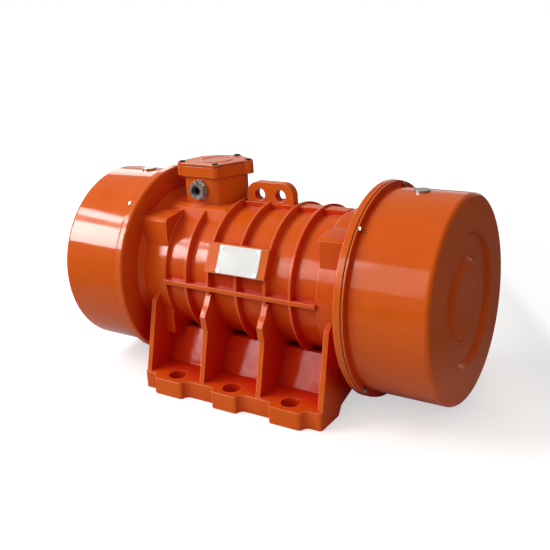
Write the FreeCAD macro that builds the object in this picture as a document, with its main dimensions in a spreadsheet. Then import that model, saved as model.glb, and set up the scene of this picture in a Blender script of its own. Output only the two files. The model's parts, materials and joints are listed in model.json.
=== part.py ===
import FreeCAD, Part
import os
import math
import Sketcher

# Foot-mounted vibration motor. The motor axis is X, the feet stand on Z = 0 and the junction box is on top.
# Every piece is drawn about the middle of the motor axis and then lifted to the axis height.

DRIVING = {
    "axis_height": (228, "motor axis above the foot plane"),
    "hole_pitch": (140, "foot holes, pitch along the motor"),
    "hole_spread": (380, "foot holes, row to row across the motor"),
    "hole_bore": (39, "foot hole diameter"),
    "foot_thick": (36, "foot plate thickness"),
    "foot_half": (217, "foot plate, half length"),
    "foot_inner": (138, "foot plate, inner edge from the centre line"),
    "foot_lobe_half": (31, "middle foot lobe, half length"),
    "foot_lobe_out": (41, "outer foot lobes, from hole centre outwards"),
    "foot_lobe_in": (33, "outer foot lobes, from hole centre inwards"),
    "foot_lobe_reach": (33, "foot lobe, from hole centre to outer face"),
    "foot_recess": (16, "foot edge set back between the lobes"),
    "web_thick": (11, "vertical web thickness"),
    "web_foot": (200, "web front edge at the foot plate"),
    "web_top": (164, "web front edge at the barrel"),
    "web_top_rise": (-43, "web top, height against the axis"),
    "wall_foot": (131, "bay back wall at the foot plate"),
    "wall_top": (98, "bay back wall at the barrel"),
    "wall_rise": (105, "bay back wall, height of its top above the foot plane"),
    "wall_thick": (13, "bay back wall thickness"),
    "arch_side": (124, "arch between the feet, half width above the foot"),
    "arch_rise": (18, "arch between the feet, height of its side"),
    "arch_crown": (52, "arch between the feet, height at the centre line"),
    "barrel_r": (143, "finned barrel, outer radius between ribs"),
    "rib_r": (158, "rib radius"),
    "rib_thick": (5, "rib thickness at its crest"),
    "rib_outer_x": (128, "outermost rib from the middle"),
    "neck_r": (153, "neck radius"),
    "neck_in": (181.5, "neck, inner end from the middle"),
    "fin_thick": (9, "side fin thickness"),
    "spine_half": (13, "top spine half width"),
    "block_in": (186, "corner blocks, inner end from the middle"),
    "block_side": (135, "corner blocks, side face from the axis"),
    "block_top": (137, "corner blocks, top face from the axis"),
    "flange_face": (269, "housing end face from the middle"),
    "flange_thick": (16, "housing end flange thickness"),
    "flange_r": (217, "housing end flange radius"),
    "core_r": (126, "stator core outer radius"),
    "core_half": (104, "stator core half length"),
    "rotor_r": (75, "stator bore radius"),
    "air_gap": (0.7, "rotor to stator air gap"),
    "spigot_r": (134, "end shield spigot radius"),
    "shield_r": (158, "end shield flange radius"),
    "shield_screw_ring": (146, "end shield screws, pitch radius"),
    "shield_thick": (14, "end shield flange thickness"),
    "bearing_in": (205, "bearing, inner side from the middle"),
    "bearing_width": (58, "bearing width"),
    "bearing_bore_r": (40, "bearing bore radius"),
    "bearing_r": (85, "bearing outer radius"),
    "roller_r": (11, "bearing roller radius"),
    "roller_ring_r": (62.5, "bearing roller pitch radius"),
    "roller_len": (34, "bearing roller length"),
    "running_fit": (0.05, "radial clearance of running and sliding fits"),
    "core_seat_r": (48, "shaft radius under the rotor core"),
    "weight_seat_r": (35, "shaft radius under the weights"),
    "weight_in": (302, "inner weight, inner side from the middle"),
    "weight_thick": (44, "eccentric weight thickness"),
    "weight_r": (166, "eccentric weight radius"),
    "weight_hub_r": (62, "eccentric weight hub radius"),
    "weight_gap": (3, "gap between the two weights"),
    "cover_r": (204, "end cover radius"),
    "cover_wall": (3, "end cover sheet thickness"),
    "cover_end": (432, "end cover outer face from the middle"),
    "cover_lip": (4, "end cover lip thickness"),
    "cover_dish_r": (125, "dished ring in the cover, outer radius"),
    "cover_dish_in": (75, "dished ring in the cover, inner radius"),
    "cover_dish": (8, "dished ring depth"),
    "cover_bend": (9, "end cover bend radius"),
    "gasket": (2, "cover gasket thickness"),
    "cover_screw_ring": (210.5, "cover screws, pitch radius"),
    "plug_x": (339, "cover plug from the middle"),
    "plug_r": (15.5, "cover plug radius"),
    "box_x": (-146, "junction box centre along the motor"),
    "box_y": (5, "junction box centre across the motor"),
    "box_half_x": (72, "junction box rim, half length"),
    "box_half_y": (59, "junction box rim, half width"),
    "box_base": (148, "junction box foot above the axis"),
    "box_height": (60, "junction box height up to its rim"),
    "box_wall": (9, "junction box wall"),
    "rim_out": (5, "junction box rim, beyond the walls"),
    "rim_high": (23, "junction box rim height"),
    "lid_thick": (4.5, "junction box lid thickness"),
    "gland_x": (-154, "cable gland along the motor"),
    "gland_rise": (180, "cable gland above the axis"),
    "gland_r": (22, "cable gland collar radius"),
    "lug_half": (57, "lifting lug half length"),
    "lug_thick": (20, "lifting lug thickness"),
    "lug_top": (198, "lifting lug top above the axis"),
    "lug_hole_x": (25.5, "lifting holes from the middle"),
    "lug_hole_r": (13, "lifting hole radius"),
    "lug_hole_rise": (171, "lifting holes above the axis"),
    "pad_tilt": (26, "nameplate pad tilt, degrees"),
    "pad_reach": (165, "nameplate pad face from the axis"),
    "pad_x": (8.5, "nameplate centre along the motor"),
    "plate_half_x": (50, "nameplate half length"),
    "plate_half_y": (29, "nameplate half width"),
}
ROOT3 = math.sqrt(3.0)
RIB_XS = (-2, -1, 0, 1, 2)
RIB_DRAFT = 3.5

doc = FreeCAD.newDocument("vibration_motor")
sheet = doc.addObject("Spreadsheet::Sheet", "Sheet")
for row, (alias, (value, note)) in enumerate(DRIVING.items(), start=1):
    sheet.set("A%d" % row, note)
    sheet.set("B%d" % row, str(value))
    sheet.setAlias("B%d" % row, alias)
doc.recompute()


class Size:
    """A length that carries its value and the spreadsheet expression it comes from."""

    def __init__(self, value, text):
        self.value = float(value)
        self.text = text

    def _with(self, other, sign, value):
        return Size(value, "(%s %s %s)" % (self.text, sign, size(other).text))

    def __add__(self, other):
        return self._with(other, "+", self.value + size(other).value)

    def __sub__(self, other):
        return self._with(other, "-", self.value - size(other).value)

    def __mul__(self, other):
        return self._with(other, "*", self.value * size(other).value)

    def __truediv__(self, other):
        return self._with(other, "/", self.value / size(other).value)

    def __radd__(self, other):
        return size(other) + self

    def __rsub__(self, other):
        return size(other) - self

    def __rmul__(self, other):
        return size(other) * self

    def __neg__(self):
        return Size(-self.value, "(-1 * %s)" % self.text)


def size(number):
    if isinstance(number, Size):
        return number
    return Size(number, "(%r)" % float(number))


class Driving:
    """Driving dimensions by name, each bound to its spreadsheet cell."""

    def __getattr__(self, alias):
        return Size(DRIVING[alias][0], "Sheet." + alias)


D = Driving()


def cosine(angle):
    angle = size(angle)
    return Size(math.cos(math.radians(angle.value)), "cos(%s * 1deg)" % angle.text)


def sine(angle):
    angle = size(angle)
    return Size(math.sin(math.radians(angle.value)), "sin(%s * 1deg)" % angle.text)


def polar(radius, angle):
    return radius * cosine(angle), radius * sine(angle)


# ---- outlines: lists of ("line" | "arc", start x, start y, radius, bulge) in the sketch plane ----


def outline(points):
    """Closed outline through (x, y) corners; a third entry rounds an axis-aligned corner by that radius."""
    path = []
    count = len(points)
    for index, point in enumerate(points):
        x, y = size(point[0]), size(point[1])
        if len(point) == 2:
            path.append(("line", x, y, None, 0))
            continue
        before, after = points[index - 1], points[(index + 1) % count]
        into = [_sign(x, before[0]), _sign(y, before[1])]
        out = [_sign(size(after[0]), x), _sign(size(after[1]), y)]
        turn = into[0] * out[1] - into[1] * out[0]
        radius = size(point[2])
        path.append(("arc", x - radius * into[0], y - radius * into[1], radius, turn))
        path.append(("line", x + radius * out[0], y + radius * out[1], None, 0))
    return path


def _sign(later, earlier):
    step = size(later).value - size(earlier).value
    return 0 if abs(step) < 1e-6 else (1 if step > 0 else -1)


def mirrored(points):
    """The same corners on the other side of the centre line, in the order that keeps the outline closed."""
    return [(-size(point[0]),) + tuple(point[1:]) for point in reversed(points)]


def box(x_low, x_high, y_low, y_high, *corner):
    return outline([(x_low, y_low) + corner, (x_high, y_low) + corner,
                    (x_high, y_high) + corner, (x_low, y_high) + corner])


def hexagon(x, y, across, turn=0):
    corner = size(across) / ROOT3
    return outline([(x + corner * cosine(turn + 60 * k), y + corner * sine(turn + 60 * k)) for k in range(6)])


def circle(x, y, radius):
    return [("circle", size(x), size(y), size(radius), 0)]


def circles(centres, radius):
    return [circle(x, y, radius) for x, y in centres]


def around(radius, turns):
    """Centres on a circle about the motor axis, at the given angles."""
    return [polar(radius, turn) for turn in turns]


def even(turn, count):
    """Angles spaced evenly round the axis, the first at turn degrees."""
    return [turn + 360.0 / count * k for k in range(count)]


def sector(radius, inner, low, high):
    """Ring sector about the origin from angle low to angle high, in degrees."""
    first, second = polar(inner, low), polar(radius, low)
    third, fourth = polar(radius, high), polar(inner, high)
    return [("line", first[0], first[1], None, 0), ("arc", second[0], second[1], size(radius), 1),
            ("line", third[0], third[1], None, 0), ("arc", fourth[0], fourth[1], size(inner), -1)]


def _arc(start, end, radius, turn):
    """Arc from start to end, turning left (1) or right (-1), as a curve and its end order."""
    middle = (start + end) * 0.5
    chord = end - start
    reach = math.sqrt(max(radius * radius - chord.Length * chord.Length / 4, 0.0))
    normal = FreeCAD.Vector(-chord.y, chord.x, 0).normalize()
    centre = middle + normal * (reach * turn)
    ring = Part.Circle(centre, FreeCAD.Vector(0, 0, 1), radius)
    low, high = (start, end) if turn > 0 else (end, start)
    first = math.atan2(low.y - centre.y, low.x - centre.x)
    last = math.atan2(high.y - centre.y, high.x - centre.x)
    if last <= first:
        last += 2 * math.pi
    return Part.ArcOfCircle(ring, first, last)


class Outline:
    """Collects the curves and constraints of one sketch, so that the sketch is solved once."""

    def __init__(self):
        self.curves = []
        self.constraints = []
        self.formulas = []

    def _bound(self, constraint, text):
        self.formulas.append((len(self.constraints), text))
        self.constraints.append(constraint)

    def _fix(self, index, corner, x, y):
        for kind, axis, at in (("DistanceX", -2, x), ("DistanceY", -1, y)):
            if at.text == "(0.0)":
                self.constraints.append(Sketcher.Constraint("PointOnObject", index, corner, axis))
            else:
                self._bound(Sketcher.Constraint(kind, -1, 1, index, corner, at.value), at.text)

    def _radius(self, index, radius):
        self._bound(Sketcher.Constraint("Radius", index, radius.value), radius.text)

    def circle(self, x, y, radius):
        index = len(self.curves)
        centre = FreeCAD.Vector(x.value, y.value, 0)
        self.curves.append(Part.Circle(centre, FreeCAD.Vector(0, 0, 1), radius.value))
        self._fix(index, 3, x, y)
        self._radius(index, radius)

    def loop(self, path):
        base, count = len(self.curves), len(path)
        corners = [FreeCAD.Vector(x.value, y.value, 0) for _, x, y, _, _ in path]
        ends = []
        for number, (kind, x, y, radius, turn) in enumerate(path):
            start, end = corners[number], corners[(number + 1) % count]
            line = kind == "line"
            self.curves.append(Part.LineSegment(start, end) if line else _arc(start, end, radius.value, turn))
            ends.append((1, 2) if line or turn > 0 else (2, 1))
        for number, (kind, x, y, radius, turn) in enumerate(path):
            after = (number + 1) % count
            self.constraints.append(Sketcher.Constraint(
                "Coincident", base + number, ends[number][1], base + after, ends[after][0]))
            self._fix(base + number, ends[number][0], x, y)
            if kind == "arc":
                self._radius(base + number, radius)

    def add(self, path):
        """Adds one closed outline, with every corner and radius bound to its expression."""
        if path[0][0] == "circle":
            self.circle(*path[0][1:4])
        else:
            self.loop(path)

    def write(self, sketch):
        sketch.addGeometry(self.curves, False)
        sketch.addConstraint(self.constraints)
        for number, text in self.formulas:
            sketch.setExpression("Constraints[%d]" % number, text)


# ---- features ----


def origin_feature(body, role):
    return [item for item in body.Origin.OriginFeatures if item.Role == role][0]


class Piece:
    """One sub-part: a body whose features are added in order, about the motor axis."""

    def __init__(self, name, side=1):
        self.body = doc.addObject("PartDesign::Body", name)
        self.body.Label = name
        self.body.AllowCompound = True
        turn = FreeCAD.Rotation(FreeCAD.Vector(0, 0, 1), 0 if side > 0 else 180)
        self.body.Placement = FreeCAD.Placement(FreeCAD.Vector(0, 0, D.axis_height.value), turn)
        self.body.setExpression(".Placement.Base.z", D.axis_height.text)
        self.name = name
        self.made = 0
        self.volume = 0.0

    def _next(self, kind):
        self.made += 1
        return "%s_%s%d" % (self.name, kind, self.made)

    def sketch(self, plane, start, paths, tilt=None):
        item = self.body.newObject("Sketcher::SketchObject", self._next("sketch"))
        item.AttachmentSupport = [(origin_feature(self.body, plane), "")]
        item.MapMode = "FlatFace"
        start = size(start)
        offset = FreeCAD.Placement(FreeCAD.Vector(0, 0, start.value), FreeCAD.Rotation())
        if tilt is not None:
            rotation = FreeCAD.Rotation(FreeCAD.Vector(1, 0, 0), tilt.value)
            offset = FreeCAD.Placement(rotation.multVec(FreeCAD.Vector(0, 0, start.value)), rotation)
            item.AttachmentOffset = offset
            item.setExpression(".AttachmentOffset.Rotation.Angle", "%s * 1deg" % tilt.text)
            item.setExpression(".AttachmentOffset.Base.y", (-start * sine(tilt)).text)
            item.setExpression(".AttachmentOffset.Base.z", (start * cosine(tilt)).text)
        else:
            item.AttachmentOffset = offset
            item.setExpression(".AttachmentOffset.Base.z", start.text)
        drawing = Outline()
        for path in paths:
            drawing.add(path)
        drawing.write(item)
        return item

    def _feature(self, kind, profile):
        item = self.body.newObject("PartDesign::" + kind, self._next(kind.lower()))
        item.Profile = profile
        item.Refine = False
        self.body.Tip = item
        return item

    def pad(self, plane, start, length, *paths, tilt=None):
        """Extrudes the outlines along the plane normal, from start, by length."""
        profile = self.sketch(plane, start, paths, tilt)
        item = self._feature("Pad", profile)
        item.Length = size(length).value
        item.setExpression("Length", size(length).text)
        self.grown(item, 1)
        return item

    def pocket(self, plane, start, length, *paths, tilt=None):
        """Cuts the outlines along the plane normal, from start, by length."""
        profile = self.sketch(plane, start, paths, tilt)
        item = self._feature("Pocket", profile)
        item.Reversed = True
        item.Length = size(length).value
        item.setExpression("Length", size(length).text)
        self.grown(item, -1)
        return item

    def turned(self, points):
        """Revolves a profile of (x, radius) corners about the motor axis."""
        profile = self.sketch("XZ_Plane", 0, [outline(points)])
        item = self._feature("Revolution", profile)
        item.ReferenceAxis = (profile, ["H_Axis"])
        item.Angle = 360.0
        self.grown(item, 1)
        return item

    def bored(self, points):
        """Cuts a revolved profile of (x, radius) corners about the motor axis."""
        profile = self.sketch("XZ_Plane", 0, [outline(points)])
        item = self._feature("Groove", profile)
        item.ReferenceAxis = (profile, ["H_Axis"])
        item.Angle = 360.0
        self.grown(item, -1)
        return item

    def ring(self, features, count):
        """Repeats the features evenly round the motor axis."""
        before = self.volume
        item = self.body.newObject("PartDesign::PolarPattern", self._next("pattern"))
        item.Originals = features
        item.Axis = (origin_feature(self.body, "X_Axis"), [""])
        item.Angle = 360.0
        item.Occurrences = count
        self.body.Tip = item
        doc.recompute()
        self.volume = item.Shape.Volume
        if abs(self.volume - before) < 1.0:
            raise RuntimeError("pattern changes nothing: " + item.Name)
        return item

    def rounded(self, radius, wanted):
        """Fillets the edges of the last feature for which wanted(edge) holds."""
        tip = self.body.Tip
        names = ["Edge%d" % (n + 1) for n, edge in enumerate(tip.Shape.Edges) if wanted(edge)]
        if not names:
            raise RuntimeError("no edge to round on " + self.name)
        item = self.body.newObject("PartDesign::Fillet", self._next("fillet"))
        item.Base = (tip, names)
        item.Radius = size(radius).value
        item.setExpression("Radius", size(radius).text)
        self.body.Tip = item
        doc.recompute()
        self.volume = item.Shape.Volume
        return item

    def grown(self, item, sign):
        """Checks that the feature really added (1) or removed (-1) material."""
        before = self.volume
        doc.recompute()
        self.volume = item.Shape.Volume
        if (self.volume - before) * sign < 1e-3:
            raise RuntimeError("feature without effect: " + item.Name)
        if self.volume < 0.2 * before:
            raise RuntimeError("feature breaks the solid: " + item.Name)


def ring_edge(x, radius, slack=0.6):
    """Picks circular edges about the motor axis at a given x and radius."""
    def wanted(edge):
        curve = edge.Curve
        return (isinstance(curve, Part.Circle) and abs(curve.Center.x - size(x).value) < slack
                and abs(curve.Radius - size(radius).value) < slack)
    return wanted


def both(*tests):
    return lambda edge: any(test(edge) for test in tests)


# ---- fasteners and small sizes that follow standard parts ----

COVER_TURNS, COVER_THREAD, COVER_HEAD, COVER_HEAD_HIGH, COVER_DEPTH = (0, 73, 131, 229, 287), 6, 10, 4, 13
SHIELD_SCREWS, SHIELD_THREAD, SHIELD_HEAD, SHIELD_HEAD_HIGH, SHIELD_DEPTH, SHIELD_TURN = 8, 12, 19, 7.5, 32, 22.5
CAP_SCREWS, CAP_THREAD, CAP_HEAD, CAP_HEAD_HIGH, CAP_DEPTH = 6, 8, 13, 5.3, 16
BOX_THREAD, BOX_SCREW_DEPTH, WIRE_HOLE, WIRE_Y = 6, 12, 16, -20
ROLLERS, CLAMP_THREAD = 13, 16
BOARD_THREAD, STUD_R, GLAND_THREAD_R = 5, 3, 18
LID_THREAD, LID_HEAD_R, LID_HEAD_HIGH, LID_DEPTH = 8, 6.5, 3, 20
spine_top = D.rib_r - 4
RIVET_R, RIVET_SHANK, RIVET_HEAD_R, RIVET_HEAD_HIGH = 1.6, 6, 3.2, 1.6
PLATE_THICK, PLATE_SHIFT = 1.0, 5.5
HOLE_PLAY = 0.5
THREAD_PLAY = 0.2
PLUG_SEAT = 1.3


# ---- housing casting ----

ribs = [D.rib_outer_x * (step / 2.0) if abs(step) == 2 else D.hole_pitch * (step / 2.0) for step in RIB_XS]


def housing_contour():
    """Outer contour of the barrel, its ribs, the necks and the end flanges, from left to right."""
    chamfer = D.flange_thick * 0.2
    half = D.rib_thick / 2
    foot = half + RIB_DRAFT
    right = [(D.neck_in, D.barrel_r), (D.neck_in + 3, D.neck_r),
             (D.flange_face - D.flange_thick - 8, D.neck_r), (D.flange_face - D.flange_thick, D.rib_r + 7),
             (D.flange_face - D.flange_thick, D.flange_r - chamfer),
             (D.flange_face - D.flange_thick + chamfer, D.flange_r), (D.flange_face, D.flange_r)]
    middle = []
    for x in ribs:
        middle += [(x - foot, D.barrel_r), (x - half, D.rib_r), (x + half, D.rib_r), (x + foot, D.barrel_r)]
    left = [(-x, radius) for x, radius in reversed(right)]
    return [(-D.flange_face, 0)] + left + middle + right + [(D.flange_face, 0)]


def block_outline():
    """Corner blocks seen along the motor: the four corners of one slab that stand out of the neck."""
    side, top = D.block_side, D.block_top
    quarter = [(side, top - 11), (side - 7, top - 5), (side - 45, top)]
    upper = quarter + [(-x, z) for x, z in reversed(quarter)]
    return outline(upper + [(-x, -z) for x, z in upper])


def pad_point(across):
    """Point (y, z) of the nameplate pad face, by its distance up the slope."""
    y = -D.pad_reach * cosine(D.pad_tilt) + across * sine(D.pad_tilt)
    z = D.pad_reach * sine(D.pad_tilt) + across * cosine(D.pad_tilt)
    return y, z


def pad_turn():
    """Turn about X that lays the XY plane on the nameplate pad, outer face up the local Z."""
    return 90 - D.pad_tilt


foot_screws = [(D.box_x + D.box_half_x * x, D.box_y + D.box_half_y * y)
               for x, y in ((-0.45, -0.5), (0.32, -0.5), (-0.2, 0.5), (0.2, 0.5))]


def rivets():
    inset = 5
    return [(D.pad_x + (D.plate_half_x - inset) * i, -PLATE_SHIFT + (D.plate_half_y - inset) * j)
            for i in (-1, 1) for j in (-1, 1)]


def foot_outline(side):
    """Foot plate seen from above: three lobes round the holes, set back between them and at the ends."""
    row = D.hole_spread / 2
    face, back = row + D.foot_lobe_reach, row + D.foot_lobe_reach - D.foot_recess
    end = D.hole_pitch + D.foot_lobe_out
    inner = D.hole_pitch - D.foot_lobe_in
    half = [(D.foot_lobe_half, -face, 6), (D.foot_lobe_half, -back, 12), (inner, -back, 12), (inner, -face, 6),
            (end, -face, 8), (end, -back, 12), (D.foot_half, -back, 6), (D.foot_half, -D.foot_inner, 6)]
    points = [(-x, y, r) for x, y, r in reversed(half)] + half
    if side > 0:
        points = [(x, -y, r) for x, y, r in reversed(points)]
    return outline(points)


def cradle():
    """Vertical web seen along the motor: foot to barrel on both sides, arched between the feet."""
    ground = -D.axis_height
    plate = ground + D.foot_thick
    half = [(-D.web_foot, ground), (-D.web_foot, plate), (-D.web_top, D.web_top_rise), (-D.barrel_r * 0.8, 0)]
    arch = [(-D.arch_side, ground + D.arch_rise), (-D.foot_inner, ground)]
    return outline(half + mirrored(half) + mirrored(arch)
                   + [(0, ground + D.arch_crown)] + arch)


def back_wall(side):
    """Sloped wall closing the bays, from the foot plate to the barrel."""
    plate = -D.axis_height + D.foot_thick
    rise = -D.axis_height + D.wall_rise
    points = [(-D.wall_foot, plate - 2), (-D.wall_top, rise), (-D.wall_top + D.wall_thick, rise),
              (-D.wall_foot + D.wall_thick, plate - D.foot_thick / 2), (-D.foot_inner, plate - D.foot_thick / 2),
              (-D.foot_inner, plate - 2)]
    return outline(points if side < 0 else mirrored(points))


def saddle():
    """Seat of the junction box seen along the motor, with a ledge that falls to the barrel on each side."""
    top, ledge, low = D.box_base, D.box_base - 4, D.barrel_r * 0.8
    front, back = D.box_y - D.box_half_y, D.box_y + D.box_half_y
    return outline([(front - 26, low), (front - 15, ledge), (front, top), (back, top), (back + 8, ledge), (back + 16, low)])


def nub(side):
    """Raised head of an inner web, where it dies into the rib."""
    front = D.web_top
    points = [(-D.barrel_r + 8, -82), (-front - 13, -82), (-front - 17, -54), (-front - 9, -42),
              (-front - 2, -34), (-front + 9, -12), (-D.barrel_r + 8, -12)]
    return outline(points if side < 0 else mirrored(points))


housing = Piece("housing")
housing.turned(housing_contour())
for side in (-1, 1):
    housing.pad("YZ_Plane", D.block_in if side > 0 else -(D.flange_face - D.flange_thick / 2),
                D.flange_face - D.flange_thick / 2 - D.block_in,
                block_outline())
for side in (-1, 1):
    for depth, thread, ring, turns in (
            (COVER_DEPTH, COVER_THREAD, D.cover_screw_ring, COVER_TURNS),
            (SHIELD_DEPTH, SHIELD_THREAD, D.shield_screw_ring, even(SHIELD_TURN, SHIELD_SCREWS))):
        start = D.flange_face - depth if side > 0 else -D.flange_face
        housing.pocket("YZ_Plane", start, depth, *circles(around(ring, turns), size(thread) / 2))
housing.pad("YZ_Plane", -D.neck_in - 4, 2 * D.neck_in + 8,
            box(-D.rib_r - 1, -D.barrel_r + 6, -D.fin_thick / 2, D.fin_thick / 2),
            box(D.barrel_r - 6, D.rib_r + 1, -D.fin_thick / 2, D.fin_thick / 2))
housing.pad("YZ_Plane", -D.hole_pitch * 1.5, D.hole_pitch * 3, back_wall(-1), back_wall(1))
housing.pad("YZ_Plane", -D.lug_half - 6, D.neck_in + D.lug_half + 10,
            box(-D.spine_half, D.spine_half, D.barrel_r - 6, spine_top))
housing.pocket("XY_Plane", spine_top, D.rib_r - spine_top + 1,
               box(-D.lug_half, D.lug_half, -D.lug_thick / 2, D.lug_thick / 2))
for start in (-D.foot_half, D.hole_pitch * -0.5 - D.web_thick / 2,
              D.hole_pitch * 0.5 - D.web_thick / 2, D.foot_half - D.web_thick):
    housing.pad("YZ_Plane", start, D.web_thick, cradle())
for x in (-0.5, 0.5):
    housing.pad("YZ_Plane", D.hole_pitch * x - D.web_thick / 2 - 1, D.web_thick + 2, nub(-1), nub(1))
for side in (-1, 1):
    housing.pad("XY_Plane", -D.axis_height, D.foot_thick, foot_outline(side))
saddle_left, saddle_right = D.box_x - D.box_half_x + 5, D.box_x + D.box_half_x
housing.pad("YZ_Plane", saddle_left, saddle_right - saddle_left, saddle())
housing.pocket("XY_Plane", D.box_base, D.rib_r - D.box_base + 5,
               box(saddle_left, saddle_right, D.box_y - D.box_half_y, D.box_y + D.box_half_y))
low, high = pad_point(size(-36)), pad_point(size(26))
housing.pad("YZ_Plane", D.pad_x - D.plate_half_x - 28, 2 * D.plate_half_x + 45,
            outline([low, (low[0] + 30, low[1]), (high[0] + 30, high[1] - 6), high]))
housing.pocket("XY_Plane", -D.axis_height, D.foot_thick,
               *[circle(D.hole_pitch * x, D.hole_spread / 2 * y, D.hole_bore / 2)
                 for x in (-1, 0, 1) for y in (-1, 1)])
housing.bored([(-D.flange_face, 0), (-D.flange_face, D.spigot_r), (-D.core_half - 16, D.spigot_r),
               (-D.core_half - 16, D.core_r), (D.core_half + 16, D.core_r),
               (D.core_half + 16, D.spigot_r), (D.flange_face, D.spigot_r), (D.flange_face, 0)])
housing.pocket("XY_Plane", D.core_r * 0.9, D.box_base - D.core_r * 0.9, circle(D.box_x, WIRE_Y, WIRE_HOLE))
housing.pocket("XY_Plane", D.box_base - BOX_SCREW_DEPTH, BOX_SCREW_DEPTH,
               *circles(foot_screws, size(BOX_THREAD) / 2))
housing.pocket("XY_Plane", D.pad_reach - RIVET_SHANK, RIVET_SHANK,
               *[circle(*rivet, RIVET_R) for rivet in rivets()], tilt=pad_turn())

# ---- end shields, bearings and their caps: drawn for the right end, turned half round for the left ----

SIDES = (("right", 1), ("left", -1))
HUB_WALL = 19
bearing_out = D.bearing_in + D.bearing_width
shield_out = D.flange_face + D.shield_thick
cap_r = D.bearing_r + HUB_WALL
cap_ring = D.bearing_r + HUB_WALL / 2
race_in = D.roller_ring_r - D.roller_r - D.running_fit
race_out = D.roller_ring_r + D.roller_r + D.running_fit
race_low = D.bearing_in + (D.bearing_width - D.roller_len) / 2 - 0.5
race_high = race_low + D.roller_len + 1
seal_r = D.bearing_bore_r + 15


def screws(piece, x, ring, turn, thread, depth, head, head_high, count):
    """Hexagon screws round the axis: shanks from x - depth to x, heads outside x."""
    at = polar(size(ring), turn)
    shank = piece.pad("YZ_Plane", x - depth, depth, circle(*at, size(thread) / 2 - D.running_fit))
    crown = piece.pad("YZ_Plane", x, head_high, hexagon(*at, head, turn))
    piece.ring([shank, crown], count)


def end_shield(name, side):
    piece = Piece(name + "_end_shield", side)
    piece.turned([(D.bearing_in - 9, D.bearing_r - 7), (D.bearing_in - 9, cap_r),
                  (D.flange_face - 17, cap_r + 4), (D.flange_face - 14, D.spigot_r - D.running_fit),
                  (D.flange_face, D.spigot_r - D.running_fit), (D.flange_face, D.shield_r),
                  (shield_out, D.shield_r), (shield_out, D.bearing_r + D.running_fit),
                  (D.bearing_in, D.bearing_r + D.running_fit), (D.bearing_in, D.bearing_r - 7)])
    hole = piece.pocket("YZ_Plane", D.flange_face, D.shield_thick,
                        circle(*polar(D.shield_screw_ring, SHIELD_TURN), SHIELD_THREAD / 2 + HOLE_PLAY))
    piece.ring([hole], SHIELD_SCREWS)
    tapped = piece.pocket("YZ_Plane", shield_out - CAP_DEPTH, CAP_DEPTH, circle(*polar(cap_ring, 0), CAP_THREAD / 2))
    piece.ring([tapped], CAP_SCREWS)
    fasteners = Piece(name + "_shield_screws", side)
    screws(fasteners, shield_out, D.shield_screw_ring, SHIELD_TURN, SHIELD_THREAD, D.shield_thick + SHIELD_DEPTH - 6,
           SHIELD_HEAD, SHIELD_HEAD_HIGH, SHIELD_SCREWS)


def bearing_cap(name, side):
    cap_high = 9
    piece = Piece(name + "_bearing_cap", side)
    piece.turned([(bearing_out + 0.2, D.bearing_r - 9), (bearing_out + 0.2, D.bearing_r - D.running_fit),
                  (shield_out, D.bearing_r - D.running_fit), (shield_out, cap_r), (shield_out + cap_high, cap_r),
                  (shield_out + cap_high, seal_r + HOLE_PLAY), (bearing_out + 12, seal_r + HOLE_PLAY),
                  (bearing_out + 12, D.bearing_r - 9)])
    hole = piece.pocket("YZ_Plane", shield_out, cap_high, circle(*polar(cap_ring, 0), CAP_THREAD / 2 + HOLE_PLAY))
    piece.ring([hole], CAP_SCREWS)
    fasteners = Piece(name + "_cap_screws", side)
    screws(fasteners, shield_out + cap_high, cap_ring, 0, CAP_THREAD, cap_high + CAP_DEPTH - 3,
           CAP_HEAD, CAP_HEAD_HIGH, CAP_SCREWS)


def bearing(name, side):
    outer = Piece(name + "_bearing_outer_ring", side)
    outer.turned([(D.bearing_in, D.bearing_r), (bearing_out, D.bearing_r), (bearing_out, race_out - 4),
                  (race_high, race_out - 4), (race_high, race_out), (race_low, race_out),
                  (race_low, race_out - 4), (D.bearing_in, race_out - 4)])
    inner = Piece(name + "_bearing_inner_ring", side)
    inner.turned([(D.bearing_in, D.bearing_bore_r + D.running_fit), (D.bearing_in, race_in + 4), (race_low, race_in + 4),
                  (race_low, race_in), (bearing_out, race_in), (bearing_out, D.bearing_bore_r + D.running_fit)])
    rollers = Piece(name + "_rollers", side)
    roller = rollers.pad("YZ_Plane", race_low + 0.5, D.roller_len, circle(D.roller_ring_r, 0, D.roller_r))
    rollers.ring([roller], ROLLERS)
    cage = Piece(name + "_roller_cage", side)
    cage.turned([(race_low - 5, D.roller_ring_r - 4), (race_low - 5, D.roller_ring_r + 4),
                 (race_high + 5, D.roller_ring_r + 4), (race_high + 5, D.roller_ring_r - 4)])
    window = cage.pocket("YZ_Plane", race_low + 0.2, D.roller_len + 0.6,
                         circle(D.roller_ring_r, 0, D.roller_r + HOLE_PLAY))
    cage.ring([window], ROLLERS)
    seal = Piece(name + "_seal_ring", side)
    seal.turned([(bearing_out, D.bearing_bore_r + D.running_fit), (bearing_out, seal_r - 6), (bearing_out + 11, seal_r - 6),
                 (bearing_out + 14, seal_r), (D.weight_in, seal_r), (D.weight_in, D.bearing_bore_r + D.running_fit)])


for name, side in SIDES:
    end_shield(name, side)
    bearing_cap(name, side)
    bearing(name, side)


# ---- stator and rotor ----

SLOTS, SLOT_HALF, SLOT_DEEP, SLOT_MOUTH = 24, 5, 26, 3
BARS, BAR_R = 20, 4

core = Piece("stator_core")
core.turned([(-D.core_half, D.rotor_r), (-D.core_half, D.core_r - D.running_fit),
             (D.core_half, D.core_r - D.running_fit), (D.core_half, D.rotor_r)])
slot = core.pocket("YZ_Plane", -D.core_half, D.core_half * 2,
                   box(D.rotor_r + SLOT_MOUTH, D.rotor_r + SLOT_DEEP, -SLOT_HALF, SLOT_HALF))
core.ring([slot], SLOTS)

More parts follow.
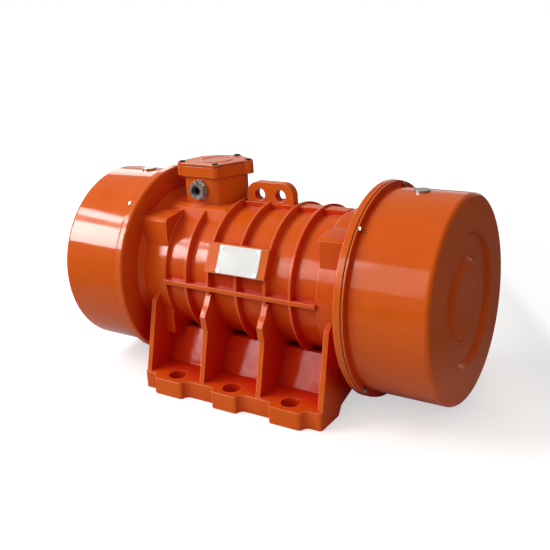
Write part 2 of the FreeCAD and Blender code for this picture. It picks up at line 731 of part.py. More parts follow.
windings = Piece("stator_windings")
overhang = 34
coil = windings.pad("YZ_Plane", -D.core_half - 4, D.core_half * 2 + 8,
                    box(D.rotor_r + SLOT_MOUTH + 0.5, D.rotor_r + SLOT_DEEP - 0.5, 0.5 - SLOT_HALF, SLOT_HALF - 0.5))
windings.ring([coil], SLOTS)
windings.pad("XY_Plane", D.rotor_r + 18, D.box_base + 20 - D.rotor_r - 18,
             *[circle(D.box_x + 8, WIRE_Y + 8 * j, 2.5) for j in (-1, 0, 1)])
for side in (-1, 1):
    low, high = (D.core_half + 3) * side, (D.core_half + overhang) * side
    windings.turned([(low, D.rotor_r + SLOT_MOUTH + 1), (low, D.rotor_r + SLOT_DEEP + 4),
                     (high, D.rotor_r + SLOT_DEEP), (high, D.rotor_r + SLOT_MOUTH + 5)])

rotor = Piece("rotor_core")
bar_ring = D.rotor_r - D.air_gap - BAR_R - 2
rotor.turned([(-D.core_half, D.core_seat_r + D.running_fit), (-D.core_half, D.rotor_r - D.air_gap),
              (D.core_half, D.rotor_r - D.air_gap), (D.core_half, D.core_seat_r + D.running_fit)])
bar_hole = rotor.pocket("YZ_Plane", -D.core_half, D.core_half * 2, circle(bar_ring, 0, BAR_R + 0.1))
rotor.ring([bar_hole], BARS)

cage = Piece("rotor_cage")
bar = cage.pad("YZ_Plane", -D.core_half - 2, D.core_half * 2 + 4, circle(bar_ring, 0, BAR_R))
cage.ring([bar], BARS)
for side in (-1, 1):
    low, high = D.core_half * side + 0.3 * side, (D.core_half + 14) * side
    cage.turned([(low, bar_ring - 10), (low, bar_ring + BAR_R + 1), (high, bar_ring + BAR_R), (high, bar_ring - 8)])

weight_out = D.weight_in + D.weight_thick
outer_in = weight_out + D.weight_gap
outer_out = outer_in + D.weight_thick
NUT_HIGH, NUT_ACROSS, THREAD_R, KEY_HALF, KEY_RISE = 14, 75, 28, 9, 5

shaft = Piece("shaft")
profile = [(D.bearing_in, D.core_seat_r), (D.bearing_in, D.bearing_bore_r), (D.weight_in, D.bearing_bore_r),
           (D.weight_in, D.weight_seat_r), (outer_out - 2, D.weight_seat_r), (outer_out - 2, THREAD_R),
           (outer_out + NUT_HIGH + 4, THREAD_R)]
shaft.turned([(-outer_out - NUT_HIGH - 4, 0)] + [(-x, r) for x, r in reversed(profile)]
             + profile + [(outer_out + NUT_HIGH + 4, 0)])
for side in (-1, 1):
    start = D.weight_in + 4 if side > 0 else -(weight_out - 4)
    shaft.pocket("YZ_Plane", start, D.weight_thick - 8,
                 box(-KEY_HALF, KEY_HALF, D.weight_seat_r - KEY_RISE, D.weight_seat_r + 1))


def weight(name, side, start, keyed):
    """Eccentric weight: half disc below the shaft, hub and split clamp above it."""
    piece = Piece(name, side)
    ear, slit, bolt_x, bolt_rise = 36, 2, start + D.weight_thick / 2, D.weight_hub_r + 10
    half = piece.pad("YZ_Plane", start, D.weight_thick, sector(D.weight_r, 20, 192, 348))
    piece.pad("YZ_Plane", start, D.weight_thick, circle(0, 0, D.weight_hub_r))
    piece.pad("YZ_Plane", start, D.weight_thick, box(-ear, ear, D.weight_hub_r * 0.5, D.weight_hub_r + 24))
    piece.pocket("YZ_Plane", start, D.weight_thick, circle(0, 0, D.weight_seat_r + D.running_fit))
    piece.pocket("YZ_Plane", start, D.weight_thick, box(-slit, slit, D.weight_seat_r - 4, D.weight_hub_r + 25))
    if keyed:
        piece.pocket("YZ_Plane", start, D.weight_thick,
                     box(-KEY_HALF, KEY_HALF, D.weight_seat_r - 4, D.weight_seat_r + KEY_RISE))
    piece.pocket("XZ_Plane", -ear - 1, ear * 2 + 2, circle(bolt_x, bolt_rise, CLAMP_THREAD / 2 + HOLE_PLAY))
    bolt = Piece(name + "_bolt", side)
    bolt.pad("XZ_Plane", -ear - 14, ear * 2 + 14, circle(bolt_x, bolt_rise, CLAMP_THREAD / 2))
    bolt.pad("XZ_Plane", ear, 10, hexagon(bolt_x, bolt_rise, 24, 30))
    bolt.pad("XZ_Plane", -ear - 13, 13, hexagon(bolt_x, bolt_rise, 24, 30))
    if keyed:
        key = Piece(name + "_key", side)
        key.pad("YZ_Plane", start + 4, D.weight_thick - 8,
                box(-KEY_HALF + 0.1, KEY_HALF - 0.1, D.weight_seat_r - KEY_RISE, D.weight_seat_r + KEY_RISE - 0.3))


for name, side in SIDES:
    weight(name + "_inner_weight", side, D.weight_in, True)
    weight(name + "_outer_weight", side, outer_in, False)
    nut = Piece(name + "_shaft_nut", side)
    nut.pad("YZ_Plane", outer_out + 0.3, 3, circle(0, 0, NUT_ACROSS / 2 + 6))
    nut.pad("YZ_Plane", outer_out + 3.3, NUT_HIGH - 3, hexagon(0, 0, NUT_ACROSS, 0))
    nut.pocket("YZ_Plane", outer_out + 0.3, NUT_HIGH, circle(0, 0, THREAD_R + D.running_fit))


# ---- end covers ----

def end_cover(name, side):
    lip_in = D.flange_face + D.gasket
    lip_out = lip_in + D.cover_lip
    lip_r = D.flange_r - 1
    skin = D.cover_r - D.cover_wall
    inside = D.cover_end - D.cover_wall
    slope = 7
    seal = Piece(name + "_cover_gasket", side)
    seal.turned([(D.flange_face, D.cover_r - 4), (D.flange_face, lip_r - 1.5), (lip_in, lip_r - 1.5), (lip_in, D.cover_r - 4)])
    cover = Piece(name + "_cover", side)
    cover.turned([(lip_in, skin), (lip_in, lip_r), (lip_out, lip_r), (lip_out, D.cover_r), (D.cover_end, D.cover_r),
                  (D.cover_end, D.cover_dish_r + slope), (D.cover_end - D.cover_dish, D.cover_dish_r),
                  (D.cover_end - D.cover_dish, D.cover_dish_in + slope), (D.cover_end, D.cover_dish_in),
                  (D.cover_end, 0), (inside, 0), (inside, D.cover_dish_in - 1.5),
                  (inside - D.cover_dish, D.cover_dish_in + slope - 1.5), (inside - D.cover_dish, D.cover_dish_r + 1.5),
                  (inside, D.cover_dish_r + slope + 1.5), (inside, skin)])
    cover.rounded(D.cover_bend, ring_edge(D.cover_end, D.cover_r))
    cover.rounded(D.cover_bend - D.cover_wall, ring_edge(inside, skin))
    cover.rounded(2.5, both(ring_edge(D.cover_end, D.cover_dish_r + slope), ring_edge(D.cover_end, D.cover_dish_in)))
    screw_at = around(D.cover_screw_ring, COVER_TURNS if side > 0 else [180 - turn for turn in COVER_TURNS])
    seal.pocket("YZ_Plane", D.flange_face, D.gasket, *circles(screw_at, COVER_THREAD / 2 + 0.2))
    cover.pocket("YZ_Plane", lip_in, D.cover_lip, *circles(screw_at, COVER_THREAD / 2 + 0.2))
    cover.pocket("XY_Plane", D.cover_r - PLUG_SEAT, PLUG_SEAT + 2, circle(D.plug_x, 0, D.plug_r + HOLE_PLAY))
    cover.pocket("XY_Plane", D.cover_r - 12, 14, circle(D.plug_x, 0, D.plug_r - 4))
    fasteners = Piece(name + "_cover_screws", side)
    fasteners.pad("YZ_Plane", lip_in - D.gasket - COVER_DEPTH + 1, COVER_DEPTH - 1 + D.gasket + D.cover_lip,
                  *circles(screw_at, COVER_THREAD / 2 - D.running_fit))
    fasteners.pad("YZ_Plane", lip_out, COVER_HEAD_HIGH, *[hexagon(y, z, COVER_HEAD) for y, z in screw_at])
    plug = Piece(name + "_cover_plug", side)
    plug.pad("XY_Plane", D.cover_r - PLUG_SEAT, 5, circle(D.plug_x, 0, D.plug_r))
    plug.pad("XY_Plane", D.cover_r - 11, 11, circle(D.plug_x, 0, D.plug_r - 4.3))


for name, side in SIDES:
    end_cover(name, side)

# ---- lifting lug ----

lug = Piece("lifting_lug")
lug.pad("XZ_Plane", -D.lug_thick / 2, D.lug_thick,
        outline([(-D.lug_half, spine_top), (D.lug_half, spine_top),
                 (D.lug_half, D.lug_top, 26), (-D.lug_half, D.lug_top, 26)]),
        circle(-D.lug_hole_x, D.lug_hole_rise, D.lug_hole_r), circle(D.lug_hole_x, D.lug_hole_rise, D.lug_hole_r))


# ---- junction box ----

BOX_GASKET, BOX_GASKET_IN, BOX_FLOOR, LID_GASKET, LID_GASKET_IN, EAR_R = 2, 5, 12, 1.5, 2, 11
RING_OUT, RING_IN, RING_HIGH = 36, 32, 1
BOX_PLAN = ((-0.72, -1), (0.5, -1), (1, 0.22), (0.89, 0.63), (0.31, 1), (-0.36, 0.93), (-0.83, 0.53), (-1, -0.46))
EARS = ((-0.86, -0.72), (0.46, -0.86), (1, 0.32), (0.22, 0.97))
box_floor = D.box_base + BOX_FLOOR
rim_low = D.box_base + D.box_height
box_rim = rim_low + D.rim_high
lid_bolts = [(D.box_x + D.box_half_x * x, D.box_y + D.box_half_y * y) for x, y in EARS]
board_y, board_rise = 14, box_floor + 10
board_screws = [(D.box_x - 29, board_y), (D.box_x + 29, board_y)]
studs = [(D.box_x + 20 * i, board_y + 8 * j) for i in (-1, 0, 1) for j in (-1, 1)]


def box_section(inset):
    """Junction box outline seen from above: an uneven octagon, drawn in from the rim by about inset."""
    share = 1 - size(inset) / D.box_half_y
    return outline([(D.box_x + D.box_half_x * share * x, D.box_y + D.box_half_y * share * y) for x, y in BOX_PLAN])


def eared(piece, start, height):
    """Rim slab with its four ears."""
    piece.pad("XY_Plane", start, height, box_section(0))
    piece.pad("XY_Plane", start, height, *circles(lid_bolts, EAR_R))


def upright(low, high, wanted):
    """Picks vertical edges between two heights whose (x, y) passes the test."""
    def test(edge):
        box = edge.BoundBox
        return (box.XLength < 0.01 and box.YLength < 0.01 and abs(box.ZMin - low.value) < 0.1
                and abs(box.ZMax - high.value) < 0.1 and wanted(box.XMin, box.YMin))
    return test


box_seal = Piece("junction_box_gasket")
box_seal.pad("XY_Plane", D.box_base, BOX_GASKET, box_section(D.rim_out + BOX_GASKET_IN))
box_seal.pocket("XY_Plane", D.box_base, BOX_GASKET, circle(D.box_x, WIRE_Y, WIRE_HOLE),
                *circles(foot_screws, size(BOX_THREAD) / 2 + HOLE_PLAY))

junction_box = Piece("junction_box")
junction_box.pad("XY_Plane", D.box_base, D.box_height, box_section(D.rim_out))
corner_x = (D.box_x + D.box_half_x * 0.2).value
junction_box.rounded(22, upright(D.box_base, rim_low, lambda x, y: x > corner_x and y < 0))
junction_box.rounded(10, upright(D.box_base, rim_low, lambda x, y: x < corner_x or y > 40))
eared(junction_box, rim_low, D.rim_high)
junction_box.pocket("XY_Plane", box_floor, D.box_height + D.rim_high, box_section(D.rim_out + D.box_wall))
junction_box.pad("XY_Plane", box_floor - 1, board_rise - box_floor + 1, *circles(board_screws, 6))
junction_box.pocket("XY_Plane", D.box_base, BOX_GASKET, box_section(D.rim_out + BOX_GASKET_IN))
junction_box.pocket("XY_Plane", D.box_base, BOX_FLOOR, circle(D.box_x, WIRE_Y, WIRE_HOLE),
                    *circles(foot_screws, size(BOX_THREAD) / 2 + HOLE_PLAY))
junction_box.pocket("XY_Plane", box_rim - LID_DEPTH, LID_DEPTH, *circles(lid_bolts, size(LID_THREAD) / 2))
junction_box.pocket("XY_Plane", board_rise - 12, 12, *circles(board_screws, size(BOARD_THREAD) / 2))
face = D.box_half_y * (1 - D.rim_out / D.box_half_y) - D.box_y
junction_box.pocket("XZ_Plane", face - D.box_wall - 1, D.box_wall + 2,
                    circle(D.gland_x, D.gland_rise, GLAND_THREAD_R))

box_screws = Piece("junction_box_screws")
box_screws.pad("XY_Plane", D.box_base - BOX_SCREW_DEPTH + 1.5, BOX_SCREW_DEPTH - 1.5 + BOX_FLOOR,
               *circles(foot_screws, size(BOX_THREAD) / 2 - D.running_fit))
box_screws.pad("XY_Plane", box_floor, 4, *[hexagon(x, y, 10) for x, y in foot_screws])

lid_seal = Piece("lid_gasket")
lid_seal.pad("XY_Plane", box_rim, LID_GASKET, box_section(LID_GASKET_IN))
lid_seal.pocket("XY_Plane", box_rim, LID_GASKET, box_section(D.rim_out + D.box_wall))
lid_seal.pocket("XY_Plane", box_rim, LID_GASKET, *circles(lid_bolts, size(LID_THREAD) / 2 + HOLE_PLAY))

lid = Piece("junction_box_lid")
lid_under = box_rim + LID_GASKET
eared(lid, lid_under, D.lid_thick)
lid.pad("XY_Plane", lid_under + D.lid_thick, RING_HIGH, circle(D.box_x, D.box_y, RING_OUT),
        circle(D.box_x, D.box_y, RING_IN))
lid.pocket("XY_Plane", lid_under, D.lid_thick, *circles(lid_bolts, size(LID_THREAD) / 2 + HOLE_PLAY))

bolts = Piece("lid_bolts")
bolts.pad("XY_Plane", box_rim - LID_DEPTH + 3, LID_DEPTH - 3 + LID_GASKET + D.lid_thick,
          *circles(lid_bolts, size(LID_THREAD) / 2 - D.running_fit))
bolts.pad("XY_Plane", lid_under + D.lid_thick, LID_HEAD_HIGH, *circles(lid_bolts, LID_HEAD_R))

board = Piece("terminal_board")
board.pad("XY_Plane", board_rise, 6, box(D.box_x - 36, D.box_x + 36, board_y - 18, board_y + 18, 3))
board.pocket("XY_Plane", board_rise, 6, *[circle(x, y, STUD_R + D.running_fit) for x, y in studs],
             *[circle(x, y, BOARD_THREAD / 2 + HOLE_PLAY) for x, y in board_screws])
board_fasteners = Piece("terminal_board_screws")
board_fasteners.pad("XY_Plane", board_rise - 10, 16,
                    *[circle(x, y, BOARD_THREAD / 2 - D.running_fit) for x, y in board_screws])
board_fasteners.pad("XY_Plane", board_rise + 6, 3.5, *[circle(x, y, BOARD_THREAD) for x, y in board_screws])
terminals = Piece("terminal_studs")
terminals.pad("XY_Plane", board_rise - 5, 27, *[circle(x, y, STUD_R) for x, y in studs])
terminals.pad("XY_Plane", board_rise + 6, 5, *[hexagon(x, y, 10, 0) for x, y in studs])


# ---- cable gland ----

COLLAR, NECK_R, NECK_LONG, GLAND_BORE_R, CABLE_R, GLAND_ACROSS, GLAND_NUT = 6, 15, 6, 12, 8, 36, 9

gland = Piece("cable_gland_body")
gland.pad("XZ_Plane", face - D.box_wall - 3, D.box_wall + 4, circle(D.gland_x, D.gland_rise, GLAND_THREAD_R - THREAD_PLAY))
gland.pad("XZ_Plane", face + 0.3, COLLAR, circle(D.gland_x, D.gland_rise, D.gland_r))
gland.pad("XZ_Plane", face + COLLAR, NECK_LONG, circle(D.gland_x, D.gland_rise, NECK_R))
gland.pocket("XZ_Plane", face - D.box_wall - 4, 40, circle(D.gland_x, D.gland_rise, GLAND_BORE_R))
nut = Piece("cable_gland_nut")
nut.pad("XZ_Plane", face + COLLAR + 1, GLAND_NUT, hexagon(D.gland_x, D.gland_rise, GLAND_ACROSS, 30))
nut.pocket("XZ_Plane", face + COLLAR + 1, NECK_LONG, circle(D.gland_x, D.gland_rise, NECK_R + D.running_fit))
nut.pocket("XZ_Plane", face + COLLAR, GLAND_NUT + 4, circle(D.gland_x, D.gland_rise, GLAND_BORE_R))
seal = Piece("cable_gland_seal")
seal.pad("XZ_Plane", face - 4, COLLAR + GLAND_NUT + 2, circle(D.gland_x, D.gland_rise, GLAND_BORE_R - D.running_fit),
         circle(D.gland_x, D.gland_rise, CABLE_R))


# ---- nameplate ----

plate = Piece("nameplate")
plate.pad("XY_Plane", D.pad_reach, PLATE_THICK,
          box(D.pad_x - D.plate_half_x, D.pad_x + D.plate_half_x,
              -PLATE_SHIFT - D.plate_half_y, -PLATE_SHIFT + D.plate_half_y, 2),
          *[circle(x, y, RIVET_R + 0.1) for x, y in rivets()], tilt=pad_turn())
rivet_set = Piece("nameplate_rivets")
rivet_set.pad("XY_Plane", D.pad_reach - RIVET_SHANK + 0.5, RIVET_SHANK - 0.5 + PLATE_THICK,
              *[circle(x, y, RIVET_R - D.running_fit) for x, y in rivets()], tilt=pad_turn())
rivet_set.pad("XY_Plane", D.pad_reach + PLATE_THICK, RIVET_HEAD_HIGH,
              *[circle(x, y, RIVET_HEAD_R) for x, y in rivets()], tilt=pad_turn())


# ---- check and export ----

doc.recompute()
os.makedirs("parts", exist_ok=True)
for item in doc.Objects:
    if "Invalid" in item.State or "Error" in item.State:
        raise RuntimeError("%s is %s" % (item.Name, item.State))
for item in doc.Objects:
    if item.TypeId != "PartDesign::Body":
        continue
    shape = item.Shape
    if shape.isNull() or not shape.isValid() or shape.Volume <= 0:
        raise RuntimeError("no valid shape: " + item.Name)
    shape.exportStep(os.path.join("parts", item.Label + ".step"))
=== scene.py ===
import bpy
import json
import math
from mathutils import Vector, Matrix


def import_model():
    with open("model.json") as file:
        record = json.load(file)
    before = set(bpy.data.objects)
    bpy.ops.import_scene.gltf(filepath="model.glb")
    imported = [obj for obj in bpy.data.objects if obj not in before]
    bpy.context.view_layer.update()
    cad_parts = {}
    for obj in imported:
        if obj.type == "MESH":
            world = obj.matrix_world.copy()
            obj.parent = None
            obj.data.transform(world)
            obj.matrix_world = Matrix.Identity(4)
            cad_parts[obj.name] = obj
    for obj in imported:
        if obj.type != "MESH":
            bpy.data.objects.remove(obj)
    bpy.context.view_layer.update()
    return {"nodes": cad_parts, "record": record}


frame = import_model()

AXIS_HEIGHT = 0.228
ALONG_X, ALONG_Y, ALONG_Z = (1.0, 0.0, 0.0), (0.0, 1.0, 0.0), (0.0, 0.0, 1.0)


def rgb(red, green, blue):
    return (red, green, blue, 1.0)


# ---------------------------------------------------------------- node helpers

class Nodes:
    """Builds one node tree, with short calls for the nodes it uses."""

    def __init__(self, block, output, coordinates):
        block.use_nodes = True
        self.tree = block.node_tree
        self.tree.nodes.clear()
        self.out = self.tree.nodes.new(output)
        self.coord = self.tree.nodes.new("ShaderNodeTexCoord").outputs[coordinates]

    def put(self, socket, value):
        if isinstance(value, bpy.types.NodeSocket):
            self.tree.links.new(value, socket)
        else:
            socket.default_value = value

    def node(self, kind, values, **settings):
        item = self.tree.nodes.new(kind)
        for name, value in settings.items():
            setattr(item, name, value)
        for key, value in values.items():
            self.put(item.inputs[key], value)
        return item

    def surface(self, shader):
        self.put(self.out.inputs["Surface"], shader)

    # numbers

    def math(self, operation, a, b):
        return self.node("ShaderNodeMath", {0: a, 1: b}, operation=operation).outputs[0]

    def times(self, a, b):
        return self.math("MULTIPLY", a, b)

    def ramp(self, value, low, high, to_low=0.0, to_high=1.0):
        keys = {"Value": value, "From Min": low, "From Max": high, "To Min": to_low, "To Max": to_high}
        return self.node("ShaderNodeMapRange", keys, clamp=True).outputs["Result"]

    def within(self, value, low, high, soft):
        """1 between low and high, with soft sides."""
        return self.times(self.ramp(value, low - soft, low), self.ramp(value, high, high + soft, 1.0, 0.0))

    def noise(self, scale, detail=3.0, stretch=None):
        vector = self.coord
        if stretch:
            vector = self.node("ShaderNodeMapping", {"Vector": vector, "Scale": stretch}).outputs[0]
        values = {"Vector": vector, "Scale": scale, "Detail": detail, "Roughness": 0.5}
        return self.node("ShaderNodeTexNoise", values).outputs["Fac"]

    # colours, directions and places

    def mix(self, fac, a, b):
        item = self.node("ShaderNodeMix", {}, data_type="RGBA")
        self.put(item.inputs["Factor"], fac)
        self.put(item.inputs["A"], a)
        self.put(item.inputs["B"], b)
        return item.outputs["Result"]

    def geometry(self, output):
        return self.node("ShaderNodeNewGeometry", {}).outputs[output]

    def along(self, vector, direction):
        """How far a vector reaches in a direction."""
        keys = {0: vector, 1: direction}
        return self.node("ShaderNodeVectorMath", keys, operation="DOT_PRODUCT").outputs["Value"]

    def bump(self, height, strength, distance, normal=None):
        values = {"Height": height, "Strength": strength, "Distance": distance}
        if normal is not None:
            values["Normal"] = normal
        return self.node("ShaderNodeBump", values).outputs["Normal"]

    def bevel(self, radius):
        return self.node("ShaderNodeBevel", {"Radius": radius}, samples=6).outputs["Normal"]

    def openness(self, own):
        """1 in the open, less in corners and bays; own looks at the same piece only."""
        reach = {"Distance": 0.16}
        return self.node("ShaderNodeAmbientOcclusion", reach, samples=8, only_local=own).outputs["AO"]


def new_material(name):
    mat = bpy.data.materials.new(name)
    return mat, Nodes(mat, "ShaderNodeOutputMaterial", "Object")


def principled(n, **values):
    keys = {key.replace("_", " "): value for key, value in values.items()}
    n.surface(n.node("ShaderNodeBsdfPrincipled", keys).outputs[0])


# ---------------------------------------------------------------- materials

ORANGE_DEEP = rgb(0.600, 0.088, 0.006)
ORANGE_BRIGHT = rgb(0.660, 0.108, 0.009)
# Deeper red painted as shade in corners, bays and crevices.
PAINTED_SHADE_RED = rgb(0.560, 0.014, 0.004)
# Lighter orange painted as a highlight along convex edges of the casting.
PAINTED_HIGHLIGHT_ORANGE = rgb(0.90, 0.38, 0.22)
DIRT_SPECK = rgb(0.10, 0.008, 0.002)
SHEEN_ON_CASTING, SHEEN_ON_SHEET = 0.17, 0.20
PAD_FACING = (0.0, -0.899, 0.438)


def dull_spots(n):
    """Thinner, duller paint on the nameplate pad and on the slope under the junction box."""
    place = n.geometry("Position")
    x, y, z = (n.along(place, axis) for axis in (ALONG_X, ALONG_Y, ALONG_Z))
    from_axis = n.node("ShaderNodeVectorMath", {0: place, 1: (0.0, 0.0, -AXIS_HEIGHT)}).outputs[0]
    pad = n.times(n.ramp(n.along(from_axis, PAD_FACING), 0.158, 0.162), n.within(x, -0.08, 0.08, 0.01))
    slope = n.times(n.within(y, -0.083, -0.066, 0.002), n.within(x, -0.214, -0.074, 0.004))
    slope = n.times(slope, n.ramp(z, 0.332, 0.340))
    return n.times(n.math("MAXIMUM", pad, slope), 0.88)


def enamel(name, cast, rough):
    """Thick sprayed enamel: drifting colour, painted shade as a deeper red in corners and bays, orange
    peel, softened edges.

    On the casting its edges carry a painted highlight in a lighter orange, and the iron's grain shows
    through.
    """
    mat, n = new_material(name)
    # Painted shade: where ambient occlusion finds corners and bays, the colour turns to a deeper red.
    painted_shade_openness = n.math("MINIMUM", n.ramp(n.openness(True), 0.35, 0.92), n.ramp(n.openness(False), 0.2, 0.5))
    in_the_open = n.mix(n.ramp(n.noise(7.0), 0.3, 0.7), ORANGE_DEEP, ORANGE_BRIGHT)
    colour = n.mix(painted_shade_openness, PAINTED_SHADE_RED, in_the_open)
    colour = n.mix(n.times(n.ramp(n.noise(160.0, 2.0), 0.66, 0.78), 0.10), colour, DIRT_SPECK)
    gloss = n.ramp(n.noise(12.0), 0.3, 0.7, rough, rough + 0.06)
    if cast:
        normal = n.bevel(0.0022)
        # Painted highlight: convex edges turn a lighter orange, faded out where the painted shade lies.
        painted_edge_highlight = n.times(n.ramp(n.along(normal, n.geometry("Normal")), 0.98, 0.80), painted_shade_openness)
        colour = n.mix(n.times(painted_edge_highlight, 0.9), colour, PAINTED_HIGHLIGHT_ORANGE)
        normal = n.bump(n.noise(45.0, 4.0), 0.35, 0.0016, normal)
        normal = n.bump(n.noise(330.0, 2.0), 0.10, 0.0004, normal)
        sheen = n.times(n.math("SUBTRACT", 1.0, dull_spots(n)), SHEEN_ON_CASTING)
    else:
        normal = n.bump(n.noise(330.0, 2.0), 0.03, 0.0004, n.bevel(0.0010))
        sheen = SHEEN_ON_SHEET
    principled(n, Base_Color=colour, Roughness=gloss, Normal=normal, Specular_IOR_Level=sheen)
    return mat


def metal(name, colour, rough, scale=90.0, stretch=None):
    """Bare or plated metal with fine wear and smudges."""
    mat, n = new_material(name)
    wear = n.noise(scale, 4.0, stretch)
    smudged = tuple(channel * 0.72 for channel in colour[:3]) + (1.0,)
    base = n.mix(n.ramp(n.noise(18.0), 0.35, 0.75), colour, smudged)
    gloss = n.ramp(wear, 0.3, 0.7, rough, rough + 0.14)
    normal = n.bump(wear, 0.05, 0.0003, n.bevel(0.0004))
    principled(n, Base_Color=base, Roughness=gloss, Metallic=1.0, Normal=normal)
    return mat


def plain(name, colour, rough, scale=120.0, bump=0.1, spread=1.6):
    """Rubber, plastic, varnish, raw iron and the plate's matt face."""
    mat, n = new_material(name)
    grain = n.noise(scale, 4.0)
    light = tuple(min(1.0, channel * spread + 0.01) for channel in colour[:3]) + (1.0,)
    base = n.mix(n.ramp(grain, 0.4, 0.8), colour, light)
    gloss = n.ramp(n.noise(25.0), 0.3, 0.7, rough, min(1.0, rough + 0.15))
    principled(n, Base_Color=base, Roughness=gloss, Normal=n.bump(grain, bump, 0.0005))
    return mat


MATERIALS = {
    "casting_enamel": enamel("enamel_on_casting", True, 0.09),
    "sheet_enamel": enamel("enamel_on_sheet", False, 0.06),
    "zinc_plate": metal("zinc_plate", rgb(0.60, 0.60, 0.58), 0.28),
    "dark_oxide": metal("dark_oxide", rgb(0.05, 0.045, 0.04), 0.35),
    "nickel_plate": metal("nickel_plate", rgb(0.50, 0.48, 0.45), 0.20),
    "plate_aluminium": plain("plate_aluminium", rgb(0.58, 0.58, 0.57), 0.50, 300.0, 0.02, 1.05),
    "black_rubber": plain("black_rubber", rgb(0.018, 0.018, 0.018), 0.55),
    "bright_steel": metal("bright_steel", rgb(0.50, 0.50, 0.50), 0.25),
    "bearing_steel": metal("bearing_steel", rgb(0.62, 0.62, 0.62), 0.12),
    "machined_brass": metal("machined_brass", rgb(0.70, 0.46, 0.16), 0.25),
    "copper_winding": plain("copper_winding", rgb(0.40, 0.12, 0.04), 0.30),
    "core_laminations": metal("core_laminations", rgb(0.20, 0.20, 0.21), 0.40, 200.0, (12.0, 1.0, 1.0)),
    "cast_aluminium": metal("cast_aluminium", rgb(0.56, 0.56, 0.56), 0.45),
    "raw_iron": plain("raw_iron", rgb(0.10, 0.10, 0.10), 0.55),
    "board_plastic": plain("board_plastic", rgb(0.045, 0.04, 0.035), 0.45),
}


def dress():
    """Gives every CAD node the detailed material of its slot."""
    slots = {part["node"]: part["material_slot"] for part in frame["record"]["subparts"]}
    for node, piece in frame["nodes"].items():
        piece.data.materials.clear()
        piece.data.materials.append(MATERIALS[slots[node]])


# ---------------------------------------------------------------- floor and world

BACKWARD, SIDEWARD = (-0.54, 0.84, 0.0), (0.84, 0.54, 0.0)
WHITE = rgb(1.0, 1.0, 1.0)


def looked_at(n, backdrop):
    """1 for rays that show the background: straight, or mirrored or passed on to where it stands."""
    path = n.node("ShaderNodeLightPath", {}).outputs
    mirrored = n.math("MAXIMUM", path["Is Glossy Ray"], path["Is Transmission Ray"])
    return n.math("MAXIMUM", path["Is Camera Ray"], n.times(mirrored, backdrop))


def floor():
    """Strip of pale paper on a darker floor; the camera sees it fade to white away from the shadow."""
    mat, n = new_material("floor")
    place = n.geometry("Position")
    paper = n.within(n.along(place, SIDEWARD), -0.75, 0.46, 0.2)
    pale = n.mix(n.ramp(n.noise(3.0), 0.3, 0.7), rgb(0.52, 0.52, 0.52), rgb(0.55, 0.55, 0.55))
    base = n.mix(paper, rgb(0.14, 0.13, 0.13), pale)
    lit = n.node("ShaderNodeBsdfDiffuse", {"Color": base}).outputs[0]
    reach = n.node("ShaderNodeVectorMath", {0: place}, operation="LENGTH").outputs["Value"]
    fade = n.math("MAXIMUM", n.ramp(reach, 0.4, 1.4, 0.55, 1.0), n.ramp(paper, 0.0, 1.0, 0.88, 0.0))
    glow = n.node("ShaderNodeEmission", {"Color": WHITE, "Strength": fade}).outputs[0]
    white = n.node("ShaderNodeAddShader", {0: lit, 1: glow}).outputs[0]
    seen = looked_at(n, n.times(paper, n.ramp(n.along(place, BACKWARD), 0.3, 1.2)))
    n.surface(n.node("ShaderNodeMixShader", {0: seen, 1: lit, 2: white}).outputs[0])
    bpy.ops.mesh.primitive_plane_add(size=60.0, location=(0, 0, -0.0005))
    ground = bpy.context.object
    ground.name = "floor"
    ground.data.materials.append(mat)


def world():
    """White behind the motor; what it sheds on the motor is bright on the left and dim on the right."""
    sky = bpy.data.worlds.new("studio")
    n = Nodes(sky, "ShaderNodeOutputWorld", "Generated")
    to_the_right = n.ramp(n.along(n.coord, ALONG_X), -0.5, 0.6)
    colour = n.mix(to_the_right, rgb(0.62, 0.62, 0.60), rgb(0.28, 0.22, 0.18))
    light = n.node("ShaderNodeBackground", {"Color": colour, "Strength": 0.75}).outputs[0]
    white = n.node("ShaderNodeBackground", {"Color": WHITE, "Strength": 1.0}).outputs[0]
    low = n.ramp(n.along(n.coord, ALONG_Z), 0.0, 0.30, 1.0, 0.0)
    seen = looked_at(n, n.times(low, n.ramp(n.along(n.coord, BACKWARD), 0.55, 0.85)))
    n.surface(n.node("ShaderNodeMixShader", {0: seen, 1: light, 2: white}).outputs[0])
    bpy.context.scene.world = sky


# ---------------------------------------------------------------- lights and camera

LIT_CENTRE = Vector((0.0, 0.0, 0.25))

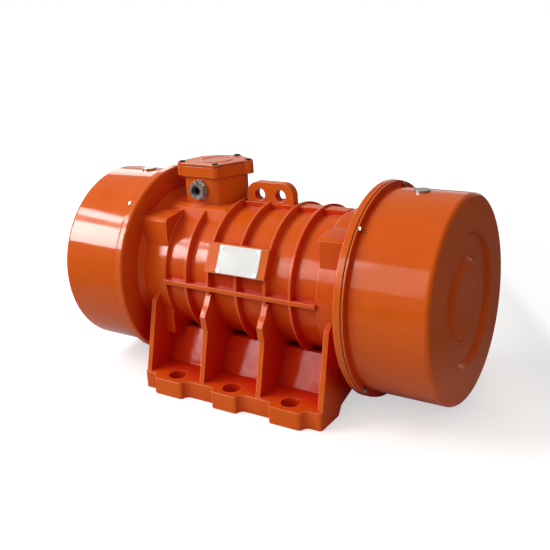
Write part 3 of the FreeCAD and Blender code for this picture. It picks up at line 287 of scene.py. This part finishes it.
# name, azimuth and elevation in degrees, distance, width and height in metres, radiance, use:
# "shine" shows in reflections only, "fill" everywhere else, "both" in all
LIGHTS = (
    ("window", -141, 22, 4.0, 1.5, 1.15, 28.0, "shine"),
    ("window_edge", -127.5, 22, 4.0, 0.42, 1.15, 15.0, "shine"),
    ("transom", -149, 36.5, 4.0, 1.3, 0.32, 24.0, "shine"),
    ("pane", -141, 29, 4.2, 1.7, 1.4, 5.0, "shine"),
    ("curtain", -121.5, 26, 4.0, 0.65, 2.0, 8.0, "shine"),
    ("room", -112, 28, 4.1, 0.9, 2.0, 3.2, "shine"),
    ("key", -150, 42, 4.0, 2.4, 2.0, 8.0, "fill"),
    ("front", -100, 30, 4.0, 2.4, 1.6, 3.0, "fill"),
    ("side", -25, 30, 4.0, 2.0, 1.6, 2.2, "fill"),
    ("back", 138, 24, 4.0, 1.4, 0.9, 4.0, "both"),
)


def softbox(name, azimuth, elevation, distance, width, height, radiance, use):
    """Rectangular light that faces the motor."""
    turn, rise = math.radians(azimuth), math.radians(elevation)
    away = Vector((math.cos(rise) * math.cos(turn), math.cos(rise) * math.sin(turn), math.sin(rise)))
    data = bpy.data.lights.new(name, "AREA")
    data.shape = "RECTANGLE"
    data.size, data.size_y = width, height
    data.energy = radiance * math.pi * width * height
    lamp = bpy.data.objects.new(name, data)
    lamp.location = LIT_CENTRE + away * distance
    lamp.rotation_euler = (-away).to_track_quat("-Z", "Y").to_euler()
    lamp.visible_diffuse = use != "shine"
    lamp.visible_glossy = use != "fill"
    bpy.context.scene.collection.objects.link(lamp)


def camera():
    """The photo's camera, as fitted to the drums, the flanges and the foot holes."""
    data = bpy.data.cameras.new("camera")
    data.sensor_width = 36.0
    data.lens = 53.27
    data.shift_x, data.shift_y = -0.0084, -0.131
    data.clip_start, data.clip_end = 0.05, 100.0
    lens = bpy.data.objects.new("camera", data)
    right = Vector((0.8469, 0.5293, -0.0509))
    down = Vector((0.0833, -0.2265, -0.9704))
    ahead = Vector((-0.5251, 0.8176, -0.2360))
    turn = Matrix((right, -down, -ahead)).transposed().to_4x4()
    lens.matrix_world = Matrix.Translation((0.9226, -1.4101, 0.7883)) @ turn
    bpy.context.scene.collection.objects.link(lens)
    bpy.context.scene.camera = lens


# ---------------------------------------------------------------- scene

dress()
floor()
world()
camera()
for light in LIGHTS:
    softbox(*light)

view = bpy.context.scene.view_settings
view.view_transform = "Standard"
